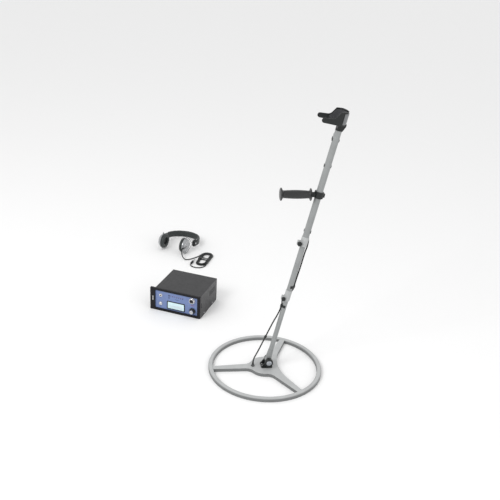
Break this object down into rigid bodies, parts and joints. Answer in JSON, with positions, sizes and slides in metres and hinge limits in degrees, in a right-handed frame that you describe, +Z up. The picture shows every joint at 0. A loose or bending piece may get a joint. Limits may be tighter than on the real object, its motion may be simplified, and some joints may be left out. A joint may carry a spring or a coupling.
{
  "type": "metal detector",
  "caption": "Deep-search metal detector: spoked ring coil on a telescopic pole with side grip and arm cup, a control box with a tuning knob, and lying headphones.",
  "frame": {"origin": "middle of the search coil's flat underside", "axes": "+Z up, +X the way the pole leans, towards the user; -X the way the grip points"},
  "size_m": [0.6905, 1.5234, 1.0801],
  "materials": {
    "coil_plastic": "fine satin moulding",
    "cover_plastic": "fine satin moulding",
    "copper": "enamelled wire",
    "black_plastic": "satin",
    "gland_plastic": "satin",
    "steel": "plated",
    "knob_cap": "silvered",
    "tube": "satin grey",
    "collar_grey": "satin",
    "cable": "satin jacket",
    "rubber": "satin",
    "cup_grey": "satin",
    "foam": "knitted cover",
    "case_black": "satin enamel",
    "frame_black": "semi-gloss enamel",
    "panel_blue": "screen-printed",
    "glass": "clear",
    "display": "lit display",
    "board": "solder mask",
    "battery": "shrink sleeve",
    "chrome": "polished",
    "red_lens": "clear red",
    "silver_cap": "turned",
    "shell_silver": "silver lacquer",
    "vinyl": "soft vinyl"
  },
  "bodies": {
    "search_coil": {"coil_top_shell": "coil_plastic", "coil_bottom_cover": "cover_plastic", "coil_winding": "copper", "cable_gland": "gland_plastic", "pivot_bracket": "black_plastic", "bracket_screws": "steel", "pivot_bolt": "steel", "coil_cable_low": "cable"},
    "pivot_nut": {"pivot_knob": "black_plastic", "pivot_knob_cap": "knob_cap"},
    "lower_pole": {"pole_yoke": "tube", "lower_tube": "tube", "lower_cable_clip": "black_plastic", "coil_cable_round": "cable"},
    "middle_pole": {"middle_tube": "tube", "lower_collar": "collar_grey", "middle_cable_clip": "black_plastic", "coil_cable_middle": "cable"},
    "lower_pinch": {"lower_collar_knob": "black_plastic"},
    "upper_pole": {"upper_tube": "tube", "upper_collar": "collar_grey", "upper_cable_clips": "black_plastic", "coil_cable_upper": "cable", "pole_connector": "steel", "arm_cup": "black_plastic", "arm_cup_back": "cup_grey", "arm_cup_pad": "foam", "arm_cup_screws": "steel"},
    "upper_pinch": {"upper_collar_knob": "black_plastic"},
    "handle_slider": {"handle_liner": "gland_plastic"},
    "handle_arm": {"handle_clamp": "black_plastic", "handle_rod": "steel"},
    "grip": {"handle_grip": "rubber"},
    "control_box": {"case_tray": "case_black", "case_cover": "case_black", "case_frame": "frame_black", "front_panel": "panel_blue", "display_module": "display", "display_window": "glass", "circuit_board": "board", "battery_pack": "battery", "coil_socket": "chrome", "headphone_jack": "chrome", "case_screws": "steel", "signal_lights": "red_lens"},
    "tuner": {"tuning_skirt": "black_plastic", "tuning_cap": "silver_cap"},
    "power_key": {"power_button": "chrome"},
    "headset": {"headband": "steel", "headband_pad": "vinyl", "band_sliders": "black_plastic"},
    "yoke_left": {"ear_yoke_left": "steel"},
    "ear_left": {"ear_shell_left": "shell_silver", "ear_cushion_left": "vinyl"},
    "yoke_right": {"ear_yoke_right": "steel"},
    "ear_right": {"ear_shell_right": "shell_silver", "ear_cushion_right": "vinyl", "headphone_cord": "cable", "headphone_hank": "cable", "headphone_plug": "chrome"}
  },
  "joints": [
    {"name": "pole_tilt", "type": "hinge", "parent": "search_coil", "child": "lower_pole", "pos_m": [0.011, 0, 0.042], "axis": [0, 1, 0], "range_deg": [-50, 74], "deforming": ["coil_cable_low"]},
    {"name": "pivot_nut_turn", "type": "hinge", "parent": "search_coil", "child": "pivot_nut", "pos_m": [0.011, -0.024, 0.042], "axis": [0, -1, 0], "range_deg": [0, 360]},
    {"name": "lower_stage", "type": "slide", "parent": "lower_pole", "child": "middle_pole", "axis": [0.2045, 0, 0.9789], "range_m": [-0.006, 0.1], "deforming": ["coil_cable_round"]},
    {"name": "lower_pinch_turn", "type": "hinge", "parent": "middle_pole", "child": "lower_pinch", "pos_m": [0.05395, -0.0149, 0.32878], "axis": [0, -1, 0], "range_deg": [0, 360]},
    {"name": "upper_stage", "type": "slide", "parent": "middle_pole", "child": "upper_pole", "axis": [0.2045, 0, 0.9789], "range_m": [-0.14, 0.1], "deforming": ["coil_cable_middle"]},
    {"name": "upper_pinch_turn", "type": "hinge", "parent": "upper_pole", "child": "upper_pinch", "pos_m": [0.1002, -0.0149, 0.56532], "axis": [0, -1, 0], "range_deg": [0, 360]},
    {"name": "handle_height", "type": "slide", "parent": "upper_pole", "child": "handle_slider", "axis": [0.2045, 0, 0.9789], "range_m": [-0.025, 0.025]},
    {"name": "handle_swivel", "type": "hinge", "parent": "handle_slider", "child": "handle_arm", "pos_m": [0.1609, 0, 0.75951], "axis": [0.2045, 0, 0.9789], "range_deg": [-60, 60]},
    {"name": "grip_turn", "type": "hinge", "parent": "handle_arm", "child": "grip", "pos_m": [0.1609, 0, 0.75951], "axis": [-0.9997, 0, 0.0227], "range_deg": [0, 360]},
    {"name": "box_lift", "type": "slide", "parent": "search_coil", "child": "control_box", "axis": [0, 0, 1], "range_m": [0, 0.3]},
    {"name": "tuning_turn", "type": "hinge", "parent": "control_box", "child": "tuner", "pos_m": [-0.25999, 0.42645, 0.032], "axis": [-0.4695, -0.8829, 0], "range_deg": [-150, 150]},
    {"name": "power_press", "type": "slide", "parent": "control_box", "child": "power_key", "axis": [0.4695, 0.8829, 0], "range_m": [0, 0.0025], "stiffness_N_per_m": 300, "springref_m": -0.001},
    {"name": "headset_lift", "type": "slide", "parent": "search_coil", "child": "headset", "axis": [0, 0, 1], "range_m": [0, 0.3]},
    {"name": "yoke_slide_left", "type": "slide", "parent": "headset", "child": "yoke_left", "axis": [-0.3697, -0.9193, 0.1354], "range_m": [0, 0.01]},
    {"name": "ear_swivel_left", "type": "hinge", "parent": "yoke_left", "child": "ear_left", "pos_m": [-0.35767, 1.15603, 0.0448], "axis": [0.0728, 0.1166, 0.9905], "range_deg": [-12, 12]},
    {"name": "yoke_slide_right", "type": "slide", "parent": "headset", "child": "yoke_right", "axis": [-0.6642, -0.7352, 0.1354], "range_m": [0, 0.01]},
    {"name": "ear_swivel_right", "type": "hinge", "parent": "yoke_right", "child": "ear_right", "pos_m": [-0.24233, 1.08397, 0.0448], "axis": [0.0728, 0.1166, 0.9905], "range_deg": [-12, 12]}
  ]
}
